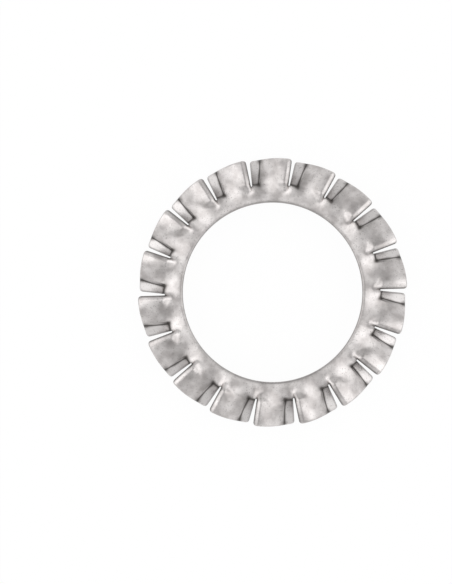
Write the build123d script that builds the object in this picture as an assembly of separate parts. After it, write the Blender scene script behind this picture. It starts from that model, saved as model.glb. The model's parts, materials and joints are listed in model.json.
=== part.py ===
from build123d import *
from math import cos, radians, sqrt, tan
import os

# External toothed lock washer for a 16 mm bolt, stamped and formed from one strip of stainless steel.
# Units are millimetres. +Z is up, the bore's axis is Z, and Z = 0 is the plane that the toes stand on.

# Ring
bore_diameter = 17.13
ring_thickness = 1.2
bore_edge_break = 0.15

# Teeth, each cut free along radial slots and set with its toe down and its heel up
tooth_count = 18
outer_diameter = 25.75
slot_root_diameter = 20.6
slot_width_inner = 0.08
slot_width_outer = 0.45
toe_drop = 1.77
toe_thickness = 1.02
toe_lean = 0.15
heel_rise = 0.4
heel_crown_reach = 0.8
rim_lean = 0.2

# Section of a tooth along its length: where each face bends, as shares of that length from the heel
top_bend_start = 0.17
top_bend_end = 0.84
under_bend_start = 0.2
under_bend_end = 0.86

# Break of the heel's upper edge, and the share of it that is left at the slot's root
heel_break_width = 0.3
heel_break_depth = 0.2
heel_break_root_share = 0.3

# Seat that the setting punch presses into the toe
seat_length_inner = 0.72
seat_length_outer = 1.1
seat_start = 0.15
seat_tip_thickness = 0.61
seat_slope_along = 0.42
seat_slope_out = 0.55
seat_wall_draft = 30

# How far a cutting or trimming shape runs past the metal
overshoot = 0.5

half_pitch = radians(180 / tooth_count)
underside = toe_drop
top_face = underside + ring_thickness
root_x = slot_root_diameter / 2 * cos(half_pitch)
crown_x = root_x + heel_crown_reach
rim_x = outer_diameter / 2
past_rim_x = rim_x + overshoot


def between(low, high, share):
    return low + (high - low) * share


def slot_width(x):
    """Width of the slot beside the toe, which opens evenly from its root to the rim."""
    return between(slot_width_inner, slot_width_outer, (x - root_x) / (rim_x - root_x))


def heel_edge(x):
    return -x * tan(half_pitch)


def toe_edge(x):
    return x * tan(half_pitch) - slot_width(x)


def find_landing():
    """Distance from the axis at which a toe's underside is set fully down: where its flat meets the rim."""
    rim_radius = rim_x - rim_lean
    y = between(heel_edge(rim_radius), toe_edge(rim_radius), under_bend_end)
    return sqrt(rim_radius**2 - y**2)


landing_x = find_landing()


def s_bend(start, end):
    """Smooth step between two heights, level at both ends."""
    (y0, z0), (y1, z1) = start, end
    third = (y1 - y0) / 3
    return Bezier((y0, z0), (y0 + third, z0), (y1 - third, z1), (y1, z1))


def tooth_section(x, rise, edge_break):
    """Outline of a tooth, cut across at a distance x from the washer's axis."""
    set_share = (x - root_x) / (landing_x - root_x)
    y_heel, y_toe = heel_edge(x), toe_edge(x)

    def along(share):
        return between(y_heel, y_toe, share)

    heel_top = top_face + heel_rise * rise
    toe_top = top_face - (toe_drop + ring_thickness - toe_thickness) * set_share
    toe_under = underside - toe_drop * set_share
    toe_end = y_toe - toe_lean * set_share
    break_y = y_heel + heel_break_width * edge_break
    break_z = heel_top - heel_break_depth * edge_break
    outline = [
        Line((y_heel, break_z), (break_y, heel_top)),
        Line((break_y, heel_top), (along(top_bend_start), heel_top)),
        s_bend((along(top_bend_start), heel_top), (along(top_bend_end), toe_top)),
        Line((along(top_bend_end), toe_top), (y_toe, toe_top)),
        Line((y_toe, toe_top), (toe_end, toe_under)),
        Line((toe_end, toe_under), (along(under_bend_end), toe_under)),
        s_bend((along(under_bend_end), toe_under), (along(under_bend_start), underside)),
        Line((along(under_bend_start), underside), (y_heel, underside)),
        Line((y_heel, underside), (y_heel, break_z)),
    ]
    across = Plane(origin=(x, 0, 0), x_dir=(0, 1, 0), z_dir=(1, 0, 0))
    return across * make_face(outline)


def tooth_blank():
    """One tooth from the chord that it bends on out to past the rim."""
    rise_past_rim = (rim_x - past_rim_x) / (rim_x - crown_x)
    return loft(
        [
            tooth_section(root_x, 0, heel_break_root_share),
            tooth_section(crown_x, 1, 1),
            tooth_section(past_rim_x, rise_past_rim, 1),
        ]
    )


def seat_height(x, y):
    """Height of the punch's flat seat, which falls towards the toe and the rim."""
    fall = seat_slope_along * (y - toe_edge(landing_x)) + seat_slope_out * (x - landing_x)
    return seat_tip_thickness - fall


def punch():
    """The punch's nose: its tilted flat and the drafted walls behind and above it."""
    inner_x = root_x + seat_start
    outer_x = past_rim_x + overshoot
    crease_run = (seat_length_outer - seat_length_inner) / (rim_x - inner_x)

    def crease(x):
        return toe_edge(x) - seat_length_inner - crease_run * (x - inner_x)

    flat = [
        (inner_x, crease(inner_x)),
        (outer_x, crease(outer_x)),
        (outer_x, toe_edge(outer_x) + overshoot),
        (inner_x, toe_edge(inner_x) + overshoot),
    ]
    lid_height = top_face + heel_rise + overshoot
    draft = tan(radians(seat_wall_draft))

    def lid(x, y, back, inward):
        rise = (lid_height - seat_height(x, y)) * draft
        return (x - inward * rise, y - back * rise, lid_height)

    nose = Face(Wire.make_polygon([(x, y, seat_height(x, y)) for x, y in flat]))
    top = Face(
        Wire.make_polygon(
            [
                lid(*flat[0], 1, 1),
                lid(*flat[1], 1, 0),
                lid(*flat[2], 0, 0),
                lid(*flat[3], 0, 1),
            ]
        )
    )
    return loft([nose, top], ruled=True)


def rim_body():
    """Solid of revolution that trims the teeth: their rim leans in as they are set down."""

    def rim_at(z):
        return rim_x - rim_lean * (top_face - z) / top_face

    low, high = -toe_drop, top_face + heel_rise
    outline = Polyline((0, low), (rim_at(low), low), (rim_at(high), high), (0, high), close=True)
    return revolve(Plane.XZ * make_face(outline), Axis.Z)


def ring():
    """Flat ring whose outer edge is the chords that the teeth bend on."""
    blank = RegularPolygon(slot_root_diameter / 2, tooth_count, rotation=180 / tooth_count)
    flat = extrude(Pos(0, 0, underside) * (blank - Circle(bore_diameter / 2)), ring_thickness)
    bore_edges = flat.edges().filter_by(GeomType.CIRCLE)
    return chamfer(bore_edges, bore_edge_break)


tooth = (tooth_blank() - punch()) & rim_body()
teeth = [Rot(Z=360 / tooth_count * i) * tooth for i in range(tooth_count)]
washer = ring() + teeth
toothed_washer = Pos(0, 0, -washer.bounding_box().min.Z) * washer

os.makedirs("parts", exist_ok=True)
export_step(toothed_washer, "parts/toothed_washer.step")
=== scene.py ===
import bpy
import json
import numpy as np
from math import cos, pi, radians, sin, tan
from mathutils import Matrix, Vector


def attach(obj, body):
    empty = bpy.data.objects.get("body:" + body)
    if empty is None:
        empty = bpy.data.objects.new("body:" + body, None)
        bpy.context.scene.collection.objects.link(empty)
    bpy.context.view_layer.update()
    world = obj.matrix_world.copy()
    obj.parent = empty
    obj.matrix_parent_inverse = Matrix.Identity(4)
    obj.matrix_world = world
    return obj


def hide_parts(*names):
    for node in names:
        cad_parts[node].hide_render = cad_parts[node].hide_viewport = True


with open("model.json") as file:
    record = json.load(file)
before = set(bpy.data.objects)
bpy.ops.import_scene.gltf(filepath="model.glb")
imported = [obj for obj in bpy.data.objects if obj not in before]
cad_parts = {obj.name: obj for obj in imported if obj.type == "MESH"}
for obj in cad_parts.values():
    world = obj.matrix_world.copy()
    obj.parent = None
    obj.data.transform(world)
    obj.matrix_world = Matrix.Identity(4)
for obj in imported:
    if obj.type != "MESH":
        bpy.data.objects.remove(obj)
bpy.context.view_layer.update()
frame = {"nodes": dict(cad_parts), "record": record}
mm = 0.001  # the sizes in the dictionaries are in millimetres
boreMount = frame["record"]["mounts"][0]
print("frame loaded:", sorted(frame["nodes"]))


# Camera, which looks straight down on the washer

viewing = {
    "imageWidth": 452,
    "imageHeight": 584,
    "centreX": 272.6,  # pixel that the bore's axis falls on
    "centreY": 292.35,
    "pixelsPerMm": 10.48,
    "scaleHeight": 2.6,  # height above the floor at which that scale holds
    "turn": radians(8.38),
    "lens": 400.0,  # lens and sensor, in real millimetres
    "sensor": 36.0,
    "clip": (0.01, 10.0),  # metres
}


# The camera stands off by the lens over the sensor, times the image's height in millimetres.
def makeCamera():
    v = viewing
    data = bpy.data.cameras.new("faceCamera")
    camera = bpy.data.objects.new("faceCamera", data)
    bpy.context.scene.collection.objects.link(camera)
    data.lens, data.sensor_width = v["lens"], v["sensor"]
    data.clip_start, data.clip_end = v["clip"]
    right = (v["imageWidth"] / 2 - v["centreX"]) / v["pixelsPerMm"]
    up = (v["centreY"] - v["imageHeight"] / 2) / v["pixelsPerMm"]
    distance = v["lens"] / v["sensor"] * v["imageHeight"] / v["pixelsPerMm"]
    place = Vector((right, up, distance + v["scaleHeight"])) * mm
    camera.location = Matrix.Rotation(v["turn"], 3, "Z") @ place
    camera.rotation_euler = (0, 0, v["turn"])
    bpy.context.scene.camera = camera


# Washer: a top sheet and an underside sheet on one grid, and the walls that join them

washer = {
    "teeth": 18,
    "boreRadius": boreMount["dims"]["r_mm"],
    "boreRound": 0.2,
    "underside": 1.77,  # heights of the flat ring's two faces above the floor
    "topFace": 2.97,
    "rimRadius": 12.875,
    "rimLean": 0.2,  # how far the rim leans in from the top face down to the floor
    "rootRadius": 10.3,  # distance of the slots' roots from the axis
    "slotInner": 0.12,  # widths of a slot at its root and at the rim
    "slotOuter": 0.45,
    "slotSpread": 0.07,  # how much the slots differ from tooth to tooth
    "cornerRound": 0.32,
    "edgeRound": 0.11,
    # The set of the teeth
    "landing": 12.54,  # distance from the axis at which a toe is set fully down
    "toeThickness": 1.02,
    "toeLean": 0.15,  # how much shorter the underside is at a toe that is set fully down
    "bendLine": 10.35,
    "bendReach": 0.25,  # how far the bend spreads to each side of its line
    "dishLine": 8.9,
    "dishReach": 0.4,
    "dishShare": 0.63,  # share of the set that the ring itself takes up
    "topBend": (0.02, 0.87),  # where each face bends, as shares of the tooth's length
    "underBend": (0.02, 0.92),
    "bendLag": 1.37,  # power that makes the bend start slowly
    # The heels
    "heelRise": 0.4,
    "heelSpan": (0.0, 2.65),  # along the tooth, where the rise dies away
    "heelFoot": 9.4,  # distances from the axis at which the rise starts and is full
    "heelCrown": 10.35,
    "heelSag": 1.9,  # fall from the crown to the rim, as a share of the rise
    "slantStart": 0.15,  # along the tooth, where the rise starts to move outwards
    "heelSlant": 0.7,  # how far it moves for each millimetre along
    "breakWidth": 0.44,  # chamfer along the heel's upper edge
    "breakDepth": 0.2,
    "breakAtRoot": 0.65,  # its depth at the root, as a share
    # The seats
    "seatInner": 0.72,  # lengths at the seat's root and at the rim
    "seatOuter": 1.1,
    "seatSpread": 0.08,  # share by which the lengths differ from tooth to tooth
    "seatWaver": 0.03,
    "waverTurns": 5.0,
    "seatStart": 0.15,  # distance from the slot's root to the seat's
    "seatTip": 0.61,  # height of the seat where a toe lands
    "seatAlong": 0.42,  # fall of the seat towards the toe and towards the rim
    "seatOut": 0.55,
    "seatEdge": (-0.02, 0.06),  # depths between which the seat's own finish begins
    "wallSlope": 1.73,
    "wallRun": (0.55, 0.15),  # length kept for the wall at the slots' roots and at the rim
    "wallSoftness": 0.05,
    "rootSlope": 7.0,
    # The ring's wave
    "waveCrest": radians(-5.8),  # where the ring stands highest, from the tooth's middle
    "waveFall": 0.53,  # share of each wave that falls
    "waveClimb": 0.66,  # share of each wave before it climbs
    "waveTop": (0.84, 1.0),  # share before it is highest again, at the slots' roots and inside
    "waveRun": 1.0,  # distance inside the roots over which one turns into the other
    "waveEnd": 0.55,  # how far past the slots' roots the ring's wave still shows
    "rippleHeight": 0.002,
    "rippleLength": 1.3,
    "rippleWaves": 14,
    # Painted shade, standing in for the shade of the crease, its corners, the bend before it, the
    # chamfer's line and the heel's foot: strengths from 0 to 1, and middles and widths of the bells
    # that they fade by
    "creaseWidth": 0.08,
    "creaseEnds": 1.0,  # how much wider the crease's dirt is at its two ends
    "creaseVary": 0.35,
    "creaseInside": 0.1,  # how far inside the slots' roots it reaches
    "cornerWidth": 0.23,
    "rimCorner": 0.8,
    "bendGrime": 0.32,
    "bendBefore": (0.0, 0.75),  # distance back from the crease
    "bendOut": (0.25, 0.5),  # share of the way from the slots' roots to the rim
    "bendFade": (-0.6, 0.2),  # distances past the roots between which it fades in
    "lineRange": (0.0, 0.35),
    "lineWidth": 0.07,
    "lineOut": (0.5, 0.5),
    "footGrime": 0.3,
    "footAlong": (0.9, 0.7),
    "footOut": (10.75, 0.6),
    # Dull bands that shearing leaves, darkened as painted shade where the steep sheared edges reflect
    # dark: strengths, and distances from an edge
    "cutWidth": 0.24,
    "toeCut": 0.6,
    "boreCut": 0.5,
    "boreBand": (0.32, 0.08),  # where the band starts and is full
    "wallCut": 0.35,
    # Numbers of faces
    "edgeFaces": 4,
    "slotEdgeFaces": 3,
    "breakFaces": 3,
    "bodyFaces": 20,
    "wallFaces": 8,
    "seatFaces": 8,
    "footLength": 0.35,  # first part of a tooth past its root, which has smaller faces
    "footFaces": 8,
    "bladeFaces": 13,
    "ringFaces": 9,
    "slotFaces": 3,
    "sideFaces": 4,
    "seed": 5,
}

halfPitch = pi / washer["teeth"]
rootX = washer["rootRadius"] * cos(halfPitch)
rng = np.random.default_rng(washer["seed"])
perTooth = (washer["teeth"], 1, 1)
slotOuter = washer["slotOuter"] + washer["slotSpread"] * rng.uniform(-1, 1, perTooth)
seatStretch = 1 + washer["seatSpread"] * rng.uniform(-1, 1, perTooth)
creasePhase = rng.uniform(0, 2 * pi, perTooth)
lineStrength = rng.uniform(*washer["lineRange"], perTooth)
rippleCount = washer["rippleWaves"]
rippleWave = rng.normal(0, 2 * pi / washer["rippleLength"] / 2**0.5, (2, rippleCount))
ripplePhase = rng.uniform(0, 2 * pi, rippleCount)


# Value at a share of the way from one to the other.
def between(low, high, share):
    return low + (high - low) * share


# A bell: one over e to the power of the distance from the middle over the width, squared.
def bell(value, middle, width):
    return np.exp(-(((value - middle) / width) ** 2))


# Smooth step from 0 to 1: three times the share squared, less twice its cube.
def smoothStep(low, high, value):
    share = np.clip((value - low) / (high - low), 0, 1)
    return share * share * (3 - 2 * share)


# The smaller of two heights, rounded where they cross: half their sum, less half the root of
# their difference squared plus the softness squared.
def softMin(first, second, softness):
    return (first + second - np.sqrt((first - second) ** 2 + softness**2)) / 2


# Distances across a rounded edge: its size times one less the cosine of even angles.
def edgeSteps(size, count):
    return size * (1 - np.cos(np.linspace(0, pi / 2, count + 1)))


# Even places from one value to the other.
def spread(low, high, count):
    return between(low, high, np.linspace(0, 1, count + 1))


# Runs of places in one row, where each run starts at the last place of the one before.
def chain(*runs):
    return np.concatenate([runs[0]] + [run[..., 1:] for run in runs[1:]], axis=-1)


# Length of a tooth along its arc: the pitch less a slot that opens evenly from root to rim.
def toothLength(radius):
    w = washer
    opened = np.clip((radius * cos(halfPitch) - rootX) / (w["rimRadius"] - rootX), 0, None)
    return 2 * halfPitch * radius - between(w["slotInner"], slotOuter, opened) * cos(halfPitch)


# Length of the seat, which grows from its root to the rim and wavers a little.
def seatLength(radius):
    w = washer
    grown = (radius * cos(halfPitch) - rootX - w["seatStart"]) / (w["rimRadius"] - rootX)
    grown = np.clip(grown, 0, None)
    waver = w["seatWaver"] * np.sin(w["waverTurns"] * grown + creasePhase)
    return between(w["seatInner"], w["seatOuter"], grown) * seatStretch + waver


# Growth from nothing at a bend to one at the landing: a parabola across the bend, then even.
def bendRun(x, line, reach):
    run = np.clip(x - line + reach, 0, None)
    return np.where(run < 2 * reach, run**2 / (4 * reach), x - line) / (washer["landing"] - line)


# Share of the full set at a distance x: the ring's slight dish and the teeth's own bend.
def setShare(x):
    w = washer
    dish = bendRun(x, w["dishLine"], w["dishReach"])
    return between(bendRun(x, w["bendLine"], w["bendReach"]), dish, w["dishShare"])


# Share of the heel's rise: a smooth step up to the crown, which moves outwards along the tooth,
# less a parabola from the crown to the rim.
def riseShare(x, along):
    w = washer
    past = np.clip((x - w["heelCrown"]) / (w["rimRadius"] - w["heelCrown"]), 0, None)
    slanted = x - w["heelSlant"] * np.clip(along - w["slantStart"], 0, None)
    return smoothStep(w["heelFoot"], w["heelCrown"], slanted) - w["heelSag"] * past**2


# A low random swell: half the sum of plane waves of many directions.
def ripple(x, y):
    waves = x[..., None] * rippleWave[0] + y[..., None] * rippleWave[1] + ripplePhase
    return washer["rippleHeight"] * np.sin(waves).sum(axis=-1) / 2


# Shares of the toe's drop and of the heel's rise round the washer. Along a tooth the drop is a
# smooth step whose share is first raised to a power, and the rise is a smooth step down. In the
# ring both follow a wave: half a cosine down towards each toe, a level stretch, half a cosine
# up to the next heel and, near the slots' roots, a level stretch before the next fall.
def turnShares(plan, bend):
    w = washer
    start, end = bend
    run = np.clip((plan["along"] / plan["length"] - start) / (end - start), 0, 1)
    inside = smoothStep(w["rootRadius"], w["rootRadius"] - w["waveRun"], plan["radius"])
    turn = (plan["angle"] - w["waveCrest"]) / (2 * halfPitch) % 1
    fall, climb, top = w["waveFall"], w["waveClimb"], between(*w["waveTop"], inside)
    phase = np.clip(turn / fall, 0, 1) + np.clip((turn - climb) / (top - climb), 0, 1)
    wave = (1 - np.cos(pi * phase)) / 2
    free = smoothStep(w["rootRadius"], w["rootRadius"] + w["waveEnd"], plan["radius"])
    drop = between(wave, smoothStep(0, 1, run ** w["bendLag"]), free)
    return drop, between((1 - wave) ** 2, 1 - smoothStep(*w["heelSpan"], plan["along"]), free)


# Height of the top face: level, plus the heel's rise, less the toe's drop and the chamfer, plus
# the swell, and cut down by the punch's tilted plane and its walls.
def topHeight(plan):
    w = washer
    x, y = plan["radius"] * np.cos(plan["angle"]), plan["radius"] * np.sin(plan["angle"])
    rise = riseShare(x, plan["along"])
    down, up = turnShares(plan, w["topBend"])
    face = w["topFace"] + w["heelRise"] * rise * up
    face = face - (w["topFace"] - w["toeThickness"]) * setShare(x) * down
    broken = np.clip(1 - plan["heelGap"] / w["breakWidth"], 0, 1)
    grown = smoothStep(w["heelFoot"], w["heelCrown"], x)
    face = face - w["breakDepth"] * broken * between(w["breakAtRoot"], 1, grown)
    face = face + ripple(x, y)
    landingY = w["landing"] * tan(halfPitch) - slotOuter
    fall = w["seatAlong"] * (y - landingY) + w["seatOut"] * (x - w["landing"])
    back = plan["length"] - seatLength(plan["radius"]) - plan["along"]
    inward = rootX + w["seatStart"] - x
    walls = np.hypot(w["wallSlope"] * np.clip(back, 0, None), w["rootSlope"] * np.clip(inward, 0, None))
    seat = w["seatTip"] - fall + walls
    plan["seat"] = smoothStep(*w["seatEdge"], face - seat)
    # Painted shade: dark colour in the crease, its corners, the bend before it, the chamfer's line and
    # the heel's foot
    plan["grime"] = paintedShadeShare(plan, x, back, inward)
    return softMin(face, seat, w["wallSoftness"])


# Share of painted shade on the top face, standing in for the shade of its hollows and slopes: in
# the crease, widest at its two ends, in the corner at each end, on the bend before it, in the line
# inside the heel's chamfer and at the heel's foot. Each is a bell, and the unshaded shares multiply.
def paintedShadeShare(plan, x, back, inward):
    w = washer
    out = np.clip((x - rootX) / (w["rimRadius"] - rootX), 0, 1)
    uneven = 1 + w["creaseVary"] * np.sin(2 * w["waverTurns"] * out + 2 * creasePhase)
    width = w["creaseWidth"] * (uneven + w["creaseEnds"] * (2 * out - 1) ** 4)
    crease = bell(np.maximum(back, inward), 0, width) * (x > rootX - w["creaseInside"])
    atRoot = bell(np.hypot(back, inward), 0, w["cornerWidth"])
    atRim = w["rimCorner"] * bell(np.hypot(back, w["landing"] - x), 0, w["cornerWidth"])
    crease = 1 - (1 - crease) * (1 - np.maximum(atRoot, atRim))
    bend = w["bendGrime"] * bell(back, *w["bendBefore"]) * (back > 0) * bell(out, *w["bendOut"])
    fadeStart, fadeEnd = w["bendFade"]
    bend = bend * smoothStep(rootX + fadeStart, rootX + fadeEnd, x)
    line = lineStrength * bell(plan["heelGap"], w["breakWidth"], w["lineWidth"])
    line = line * bell(out, *w["lineOut"]) * (x > rootX)
    foot = w["footGrime"] * bell(plan["along"], *w["footAlong"]) * bell(x, *w["footOut"])
    return 1 - (1 - crease) * (1 - bend) * (1 - line) * (1 - foot)


# Height of the underside: level at the heel and set down at the toe by a smooth step.
def underHeight(plan):
    w = washer
    x = plan["radius"] * np.cos(plan["angle"])
    return w["underside"] * (1 - setShare(x) * turnShares(plan, w["underBend"])[0])


# Radius of the rim at a height, on the cone that the set teeth make.
def rimAt(z):
    w = washer
    return w["rimRadius"] - w["rimLean"] * (w["topFace"] - z) / w["topFace"]


# Places from heel to toe: close together on the rounded edges, the seat's wall and the seat.
def alongPlaces(length, radius):
    w = washer
    edge, broken = w["edgeRound"], w["breakWidth"]
    flat = 0 * length
    crease = length - seatLength(radius)
    wallRun = between(*w["wallRun"], smoothStep(w["rootRadius"], w["rimRadius"], radius))
    heelEdge = edgeSteps(edge, w["edgeFaces"]) + flat
    chamfer = spread(edge, broken, w["breakFaces"]) + flat
    body = spread(broken, crease - wallRun, w["bodyFaces"])
    wall = spread(crease - wallRun, crease, w["wallFaces"])
    seat = spread(crease, length - edge, w["seatFaces"])
    toeEdge = length - edgeSteps(edge, w["edgeFaces"])[::-1]
    return chain(heelEdge, chamfer, body, wall, seat, toeEdge)


# Corners in plan: nearness to each of two edges is moved from a square on to a quarter disc,
# each times the root of one less half the other squared.
def roundCorners(along, length, radius, rim):
    corner = washer["cornerRound"]
    heelHalf = along < length / 2
    sideGap = np.where(heelHalf, along, length - along)
    side = np.clip(1 - sideGap / corner, 0, 1)
    out = np.clip(1 - (rim - radius) / corner, 0, 1)
    newSide = side * np.sqrt(1 - out**2 / 2)
    newOut = out * np.sqrt(1 - side**2 / 2)
    shift = corner * (side - newSide)
    gap = corner * (1 - np.hypot(newSide, newOut))
    return along + np.where(heelHalf, shift, -shift), radius + corner * (newOut - out), gap


# Plan of the teeth: rows from the slots' roots to the rim, columns from heel to toe.
def toothPlan(rim, toeLean):
    w = washer
    root, edge = w["rootRadius"], w["edgeRound"]
    foot = spread(root, root + w["footLength"], w["footFaces"])[1:, None] + 0 * rim
    bladeShares = spread(0, 1, w["bladeFaces"])[1:, None]
    blade = between(root + w["footLength"], rim - edge, bladeShares)
    rimRows = rim - edgeSteps(edge, w["edgeFaces"])[::-1][1:, None]
    radius = np.concatenate([foot, blade, rimRows], axis=1)
    length = toothLength(radius) - toeLean * setShare(radius * cos(halfPitch))
    shares = alongPlaces(length[..., -1:], radius[..., -1:]) / length[..., -1:]
    along, radius, gap = roundCorners(shares * length, length, radius, rim)
    return {
        "along": along,
        "angle": along / radius - halfPitch,
        "radius": radius,
        "length": length,
        "edgeGap": gap,
        "sideGap": np.minimum(along, length - along),
        "heelGap": along,
        "boreGap": radius - w["boreRadius"],
    }


# Plan of the ring: rows from the bore to the slots' roots, and the teeth's columns carried on
# across the slots.
def ringPlan():
    w = washer
    root = np.full((w["teeth"], 1, 1), w["rootRadius"])
    length = toothLength(root)
    pitch = 2 * halfPitch * root
    bore = w["boreRadius"] + edgeSteps(w["boreRound"], w["edgeFaces"])
    flat = spread(bore[-1], w["rootRadius"] - w["edgeRound"], w["ringFaces"])
    slotEnd = w["rootRadius"] - edgeSteps(w["edgeRound"], w["slotEdgeFaces"])[::-1]
    slot = spread(length, pitch, w["slotFaces"])[..., 1:-1]
    rows = chain(bore, flat, slotEnd)[None, :, None]
    along = np.concatenate([alongPlaces(length, root), slot], axis=-1) + 0 * rows
    radius = rows + 0 * along
    slotGap = np.hypot(np.clip(np.minimum(along, length - along), 0, None), root - radius)
    return {
        "along": along,
        "angle": along / root - halfPitch,
        "radius": radius,
        "length": length,
        "edgeGap": slotGap,
        "sideGap": slotGap,
        "heelGap": np.hypot(np.minimum(along, pitch - along), root - radius),
        "boreGap": radius - w["boreRadius"],
    }


# Drop of a rounded edge at a distance from it: the size less the height of a quarter circle.
def edgeDrop(gap, size):
    inward = np.clip(1 - gap / size, 0, 1)
    return size * (1 - np.sqrt(1 - inward**2))


# Points of one part of a sheet, turned to each tooth's place, with its surface values: seat,
# painted shade and the dull bands with their painted edge shade, which fade by a smooth step from
# each sheared edge.
def partPoints(plan, height, side):
    w = washer
    drop = np.maximum(
        edgeDrop(plan["edgeGap"], w["edgeRound"]), edgeDrop(plan["boreGap"], w["boreRound"])
    )
    z = height(plan) - side * drop
    turned = plan["angle"] + 2 * halfPitch * np.arange(w["teeth"])[:, None, None]
    points = np.stack([plan["radius"] * np.cos(turned), plan["radius"] * np.sin(turned), z], -1)
    nothing = 0 * z
    # Dull shear bands near the heel, toe and bore edges, darkened as painted shade of the steep edges
    strength = np.where(plan["along"] > plan["length"] / 2, w["toeCut"], 1)
    cut = strength * smoothStep(w["cutWidth"], 0, plan["sideGap"])
    cut = np.maximum(cut, w["boreCut"] * smoothStep(*w["boreBand"], plan["boreGap"]))
    values = (plan.get("seat", nothing), plan.get("grime", nothing), cut)
    return points, np.stack([value + nothing for value in values], -1)


# One sheet. Its height at an upright rim gives the radius of the leaning rim, column by column.
def makeSheet(height, side, toeLean):
    w = washer
    plain = toothPlan(np.full((w["teeth"], 1, 1), w["rimRadius"]), toeLean)
    rim = rimAt(height(plain)[:, -1:, :])
    ring = partPoints(ringPlan(), height, side)
    tooth = partPoints(toothPlan(rim, toeLean), height, side)
    return ring, tooth


# Four-cornered faces of a grid of point numbers.
def gridFaces(numbers, flipped=False):
    a, b = numbers[..., :-1, :-1], numbers[..., 1:, :-1]
    c, d = numbers[..., 1:, 1:], numbers[..., :-1, 1:]
    corners = (a, d, c, b) if flipped else (a, b, c, d)
    return np.stack(corners, axis=-1).reshape(-1, 4)


# Numbers of a sheet's points, kept as one ring grid and one tooth grid that share a row, and
# the two loops that bound the sheet.
def numberSheet(first, ringShape, toothShape):
    ring = first + np.arange(np.prod(ringShape)).reshape(ringShape)
    tooth = first + ring.size + np.arange(np.prod(toothShape)).reshape(toothShape)
    tooth = np.concatenate([ring[:, -1:, : toothShape[-1]], tooth], axis=1)
    heel = tooth[:, :, 0]
    rim = tooth[:, -1, 1:-1]
    toe = tooth[:, ::-1, -1]
    slot = ring[:, -1, toothShape[-1] :]
    outline = np.concatenate([heel, rim, toe, slot], axis=1).reshape(-1)
    ring = np.concatenate([ring, np.roll(ring, -1, axis=0)[:, :, :1]], axis=2)
    return ring, tooth, outline, ring[:, 0, :-1].reshape(-1)


# Rows of points evenly between two loops, from the lower to the upper.
def wallPoints(low, high, segments):
    shares = np.linspace(0, 1, segments + 1)[1:-1, None, None]
    return between(low, high, shares)


# Both sheets, then the walls from the underside's outline and bore loop up to the top's.
def makeWasher():
    w = washer
    sheets = [makeSheet(underHeight, -1, w["toeLean"]), makeSheet(topHeight, 1, 0)]
    points, values, faces, loops = [], [], [], []
    count = 0
    for upper, (ring, tooth) in enumerate(sheets):
        numbers = numberSheet(count, ring[0].shape[:3], tooth[0].shape[:3])
        points += [ring[0].reshape(-1, 3), tooth[0].reshape(-1, 3)]
        values += [ring[1].reshape(-1, 3), tooth[1].reshape(-1, 3)]
        count += ring[0][..., 0].size + tooth[0][..., 0].size
        faces += [gridFaces(numbers[0], not upper), gridFaces(numbers[1], not upper)]
        loops.append(numbers[2:])
    placed = np.concatenate(points)
    for inside, (low, high) in enumerate(zip(*loops)):
        rows = wallPoints(placed[low], placed[high], w["sideFaces"])
        numbers = count + np.arange(rows[..., 0].size).reshape(rows.shape[:2])
        grid = np.concatenate([low[None], numbers, high[None]])
        grid = np.concatenate([grid, grid[:, :1]], axis=1)
        faces.append(gridFaces(grid, not inside))
        points.append(rows.reshape(-1, 3))
        # The walls get part of the dull band and its painted edge shade
        values.append(np.tile([0.0, 0.0, w["wallCut"]], (numbers.size, 1)))
        count += numbers.size
    return np.concatenate(points) * mm, np.concatenate(values), np.concatenate(faces)


# Smooth-shaded object from arrays of points and of four-cornered faces.
def makeMesh(name, points, faces):
    mesh = bpy.data.meshes.new(name)
    mesh.vertices.add(len(points))
    mesh.vertices.foreach_set("co", points.astype(np.float32).ravel())
    mesh.loops.add(faces.size)
    mesh.loops.foreach_set("vertex_index", faces.astype(np.int32).ravel())
    mesh.polygons.add(len(faces))
    mesh.polygons.foreach_set("loop_start", np.arange(0, faces.size, 4, dtype=np.int32))
    mesh.update(calc_edges=True)
    mesh.polygons.foreach_set("use_smooth", np.ones(len(faces), dtype=bool))
    item = bpy.data.objects.new(name, mesh)
    bpy.context.scene.collection.objects.link(item)
    return item


points, values, faces = makeWasher()
washerPiece = makeMesh("toothedWasher", points, faces)
# Surface values: the seat's mask, painted shade, and the dull bands with their painted edge shade
for column, name in enumerate(("seat", "grime", "cut")):
    layer = washerPiece.data.attributes.new(name, "FLOAT", "POINT")
    layer.data.foreach_set("value", values[:, column].astype(np.float32))
print("washer mesh:", len(points), "points,", 2 * len(faces), "triangles")


# Materials

steel = {
    "dark": (0.49, 0.463, 0.454),  # the tumbled face's darkest and palest patches
    "pale": (0.73, 0.70, 0.69),
    "seat": (0.67, 0.645, 0.637),
    # Colours of the painted shade, and of the dull bands with their painted edge shade
    "grime": (0.07, 0.063, 0.058),
    "cut": (0.16, 0.15, 0.145),
    "speck": (0.43, 0.41, 0.40),
    "roughness": (0.3, 0.4),
    "patchScale": 900.0,  # scales of the noise, and the values that it is stretched from
    "patchRange": (0.35, 0.65),
    "speckScale": 7000.0,
    "speckRange": (0.3, 0.42),
    "grainScale": 9000.0,
    "grainRange": (0.3, 0.7),
    "noiseDetail": 3.0,
    "bump": 0.6,
    "bumpDepth": 0.00001,
}


# A node tree, with short ways to add a node and to link two sockets.
class Nodes:
    def __init__(self, tree):
        self.tree = tree

    def add(self, kind, **settings):
        node = self.tree.nodes.new(kind)
        for key, value in settings.items():
            setattr(node, key, value)
        return node

    def link(self, start, end):
        self.tree.links.new(start, end)


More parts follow.
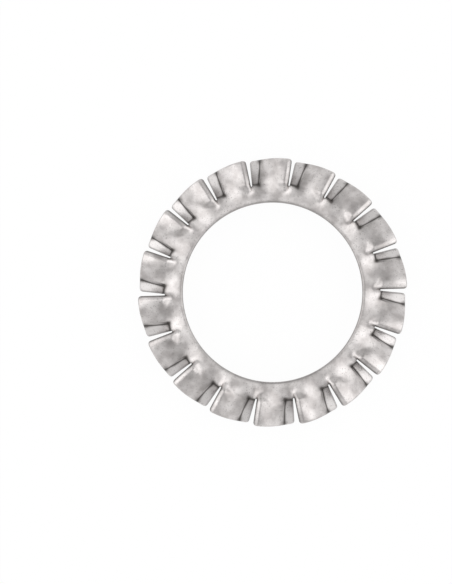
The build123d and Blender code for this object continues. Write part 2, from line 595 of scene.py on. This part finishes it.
# Noise of a given scale, stretched to run from one value to another.
def makeToneGroup():
    group = bpy.data.node_groups.new("unevenTone", "ShaderNodeTree")
    for name, kind in (("Place", "NodeSocketVector"), ("Scale", "NodeSocketFloat"),
                       ("Low", "NodeSocketFloat"), ("High", "NodeSocketFloat")):
        group.interface.new_socket(name=name, in_out="INPUT", socket_type=kind)
    group.interface.new_socket(name="Tone", in_out="OUTPUT", socket_type="NodeSocketFloat")
    n = Nodes(group)
    inlet, outlet = n.add("NodeGroupInput"), n.add("NodeGroupOutput")
    noise = n.add("ShaderNodeTexNoise")
    noise.inputs["Detail"].default_value = steel["noiseDetail"]
    spreadOut = n.add("ShaderNodeMapRange")
    n.link(inlet.outputs["Place"], noise.inputs["Vector"])
    n.link(inlet.outputs["Scale"], noise.inputs["Scale"])
    n.link(noise.outputs["Fac"], spreadOut.inputs["Value"])
    n.link(inlet.outputs["Low"], spreadOut.inputs["From Min"])
    n.link(inlet.outputs["High"], spreadOut.inputs["From Max"])
    n.link(spreadOut.outputs["Result"], outlet.inputs["Tone"])
    return group


toneGroup = makeToneGroup()


# The noise group, placed with its own scale and limits.
def addTone(n, place, scale, low, high):
    node = n.add("ShaderNodeGroup", node_tree=toneGroup)
    n.link(place, node.inputs["Place"])
    node.inputs["Scale"].default_value = scale
    node.inputs["Low"].default_value = low
    node.inputs["High"].default_value = high
    return node.outputs["Tone"]


# Mix of two colours by a share. A colour may be a value or a socket.
def mixColour(n, share, first, second):
    node = n.add("ShaderNodeMix", data_type="RGBA")
    colourSockets = (node.inputs[0], node.inputs[6], node.inputs[7])  # share, first, second
    for value, socket in zip((share, first, second), colourSockets):
        if isinstance(value, tuple):
            socket.default_value = (*value, 1)
        else:
            n.link(value, socket)
    return node.outputs[2]  # the colour


# Arithmetic on a socket and a number or another socket.
def addMath(n, operation, first, second):
    node = n.add("ShaderNodeMath", operation=operation)
    n.link(first, node.inputs[0])
    if isinstance(second, (int, float)):
        node.inputs[1].default_value = second
    else:
        n.link(second, node.inputs[1])
    return node.outputs[0]


# Smooth step of a socket from one range of values to another.
def addRange(n, value, source, result):
    node = n.add("ShaderNodeMapRange", interpolation_type="SMOOTHSTEP")
    n.link(value, node.inputs["Value"])
    for name, number in zip(("From Min", "From Max", "To Min", "To Max"), (*source, *result)):
        node.inputs[name].default_value = number
    return node.outputs["Result"]


# Patches of two tones, then the seats, specks, dull bands with painted edge shade and painted
# shade, each mixed over the last.
def makeSteel():
    material = bpy.data.materials.new("tumbledStainless")
    material.use_nodes = True
    n = Nodes(material.node_tree)
    shader = material.node_tree.nodes["Principled BSDF"]
    shader.inputs["Metallic"].default_value = 1.0
    place = n.add("ShaderNodeTexCoord").outputs["Object"]
    patches = addTone(n, place, steel["patchScale"], *steel["patchRange"])
    grain = addTone(n, place, steel["grainScale"], *steel["grainRange"])
    seat = n.add("ShaderNodeAttribute", attribute_name="seat").outputs["Fac"]
    grime = n.add("ShaderNodeAttribute", attribute_name="grime").outputs["Fac"]
    cut = n.add("ShaderNodeAttribute", attribute_name="cut").outputs["Fac"]
    colour = mixColour(n, patches, steel["dark"], steel["pale"])
    colour = mixColour(n, seat, colour, steel["seat"])
    specks = addTone(n, place, steel["speckScale"], *steel["speckRange"])
    colour = mixColour(n, specks, steel["speck"], colour)
    # The dull bands with their painted edge shade, then the painted shade of the hollows and slopes
    colour = mixColour(n, cut, colour, steel["cut"])
    colour = mixColour(n, grime, colour, steel["grime"])
    n.link(colour, shader.inputs["Base Color"])
    rough = n.add("ShaderNodeMapRange")
    rough.inputs["To Min"].default_value, rough.inputs["To Max"].default_value = steel["roughness"]
    n.link(patches, rough.inputs["Value"])
    n.link(rough.outputs["Result"], shader.inputs["Roughness"])
    bump = n.add("ShaderNodeBump")
    bump.inputs["Strength"].default_value = steel["bump"]
    bump.inputs["Distance"].default_value = steel["bumpDepth"]
    n.link(grain, bump.inputs["Height"])
    n.link(bump.outputs["Normal"], shader.inputs["Normal"])
    return material


washerPiece.data.materials.append(makeSteel())


# Floor and light

studio = {
    "floorSize": 3.0,  # metres
    "floorColour": (0.9, 0.9, 0.9),
    "floorGlow": 0.96,  # share of plain white where the camera or a reflection sees the floor
    "horizon": 0.86,  # the plain light's strengths at the horizon and overhead
    "overhead": 0.57,
    "heights": (0.3, 0.8),  # sines of the heights between which one turns into the other
    "box": 1.12,  # what a soft box adds
    "boxTilt": radians(45),
    "boxEdge": radians(45),  # angles from a box's middle at which it starts and is full
    "boxCore": radians(15),
}


# The floor takes the washer's shadow, and is nearly plain white to the camera and in reflections.
def makeFloor():
    s = studio
    half = s["floorSize"] / 2
    corners = np.array([[-half, -half, 0], [half, -half, 0], [half, half, 0], [-half, half, 0]])
    floor = makeMesh("studioFloor", corners, np.array([[0, 1, 2, 3]]))
    material = bpy.data.materials.new("paleFloor")
    material.use_nodes = True
    n = Nodes(material.node_tree)
    matte = n.add("ShaderNodeBsdfDiffuse")
    matte.inputs["Color"].default_value = (*s["floorColour"], 1)
    glow = n.add("ShaderNodeEmission")
    rays = n.add("ShaderNodeLightPath")
    seen = addMath(n, "MAXIMUM", rays.outputs["Is Camera Ray"], rays.outputs["Is Glossy Ray"])
    seen = addMath(n, "MAXIMUM", seen, rays.outputs["Is Transmission Ray"])
    mix = n.add("ShaderNodeMixShader")
    n.link(addMath(n, "MULTIPLY", seen, s["floorGlow"]), mix.inputs[0])
    n.link(matte.outputs[0], mix.inputs[1])
    n.link(glow.outputs[0], mix.inputs[2])
    n.link(mix.outputs[0], material.node_tree.nodes["Material Output"].inputs["Surface"])
    floor.data.materials.append(material)
    return floor


# The world's light: a plain level that rises towards the horizon, and two round soft boxes,
# one to each side, whose strength follows the cosine of the angle from their middles.
def makeWorld():
    s = studio
    world = bpy.data.worlds.new("studioLight")
    bpy.context.scene.world = world
    world.use_nodes = True
    n = Nodes(world.node_tree)
    direction = n.add("ShaderNodeTexCoord").outputs["Generated"]
    across = n.add("ShaderNodeVectorMath", operation="DOT_PRODUCT")
    n.link(direction, across.inputs[0])
    across.inputs[1].default_value = (cos(viewing["turn"]), sin(viewing["turn"]), 0)
    sideways = addMath(n, "ABSOLUTE", across.outputs["Value"], 0)
    parts = n.add("ShaderNodeSeparateXYZ")
    n.link(direction, parts.inputs[0])
    upward = addMath(n, "MULTIPLY", parts.outputs["Z"], cos(s["boxTilt"]))
    nearness = n.add("ShaderNodeMath", operation="MULTIPLY_ADD")
    n.link(sideways, nearness.inputs[0])
    nearness.inputs[1].default_value = sin(s["boxTilt"])
    n.link(upward, nearness.inputs[2])
    box = addRange(n, nearness.outputs[0], (cos(s["boxEdge"]), cos(s["boxCore"])), (0, s["box"]))
    plain = addRange(n, parts.outputs["Z"], s["heights"], (s["horizon"], s["overhead"]))
    level = addMath(n, "ADD", box, plain)
    background = world.node_tree.nodes["Background"]
    background.inputs["Color"].default_value = (1, 1, 1, 1)
    n.link(level, background.inputs["Strength"])


floor = makeFloor()
makeWorld()
makeCamera()
bpy.context.scene.view_settings.view_transform = "Standard"
print("floor, light and camera set")


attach(washerPiece, "root")
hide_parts("toothed_washer")
